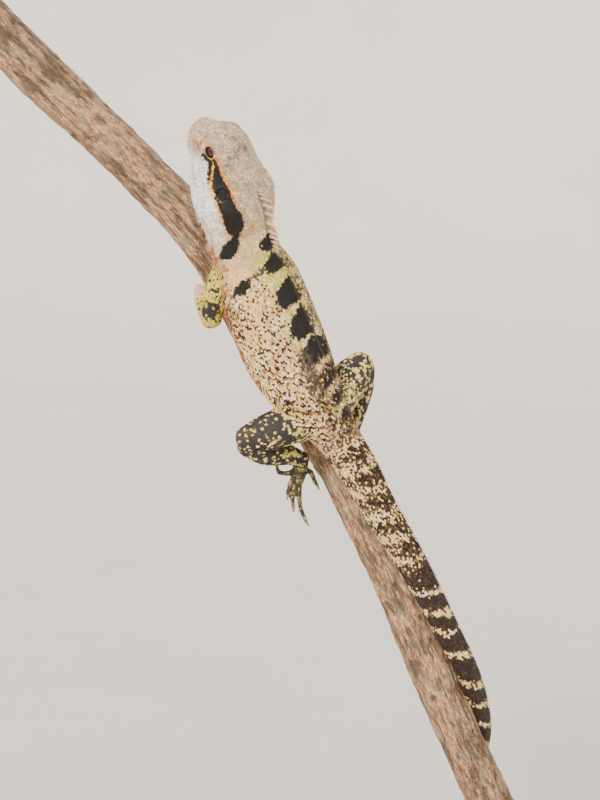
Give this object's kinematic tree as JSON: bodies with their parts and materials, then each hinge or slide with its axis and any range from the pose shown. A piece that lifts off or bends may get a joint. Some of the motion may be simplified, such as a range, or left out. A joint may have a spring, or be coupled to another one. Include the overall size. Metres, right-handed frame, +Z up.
{
  "type": "eastern water dragon",
  "caption": "Life-size eastern water dragon clinging head up to a cut length of branch, on a plain display stand.",
  "frame": {"origin": "centre of the underside of the stand's base", "axes": "+Z up through the base, -Y towards a viewer who faces the animal's back, +X to that viewer's right"},
  "size_m": [0.3793, 0.28, 0.7497],
  "materials": {
    "skin_head": "matt small scales",
    "skin_back": "matt keeled scales",
    "skin_leg": "matt keeled scales",
    "skin_tail": "matt keeled scales",
    "eye": "wet gloss",
    "ear_drum": "thin smooth skin",
    "claw": "satin horn",
    "bark": "rough fibrous bark",
    "stand_wood": "satin varnish",
    "stand_steel": "brushed"
  },
  "bodies": {
    "root": {"head": "skin_head", "lower_jaw": "skin_head", "eye_left": "eye", "eye_right": "eye", "ear_left": "ear_drum", "ear_right": "ear_drum", "neck": "skin_head", "torso_front": "skin_back", "torso_rear": "skin_back", "pelvis": "skin_back", "tail_1": "skin_tail", "tail_2": "skin_tail", "tail_3": "skin_tail", "tail_4": "skin_tail", "tail_5": "skin_tail", "arm_left_upper": "skin_leg", "arm_left_fore": "skin_leg", "hand_left": "skin_leg", "arm_right_upper": "skin_leg", "arm_right_fore": "skin_leg", "hand_right": "skin_leg", "leg_left_thigh": "skin_leg", "leg_left_shank": "skin_leg", "foot_left": "skin_leg", "leg_right_thigh": "skin_leg", "leg_right_shank": "skin_leg", "foot_right": "skin_leg", "perch_branch": "bark", "stand_base": "stand_wood", "stand_rod_1": "stand_steel", "stand_rod_2": "stand_steel"}
  },
  "joints": []
}
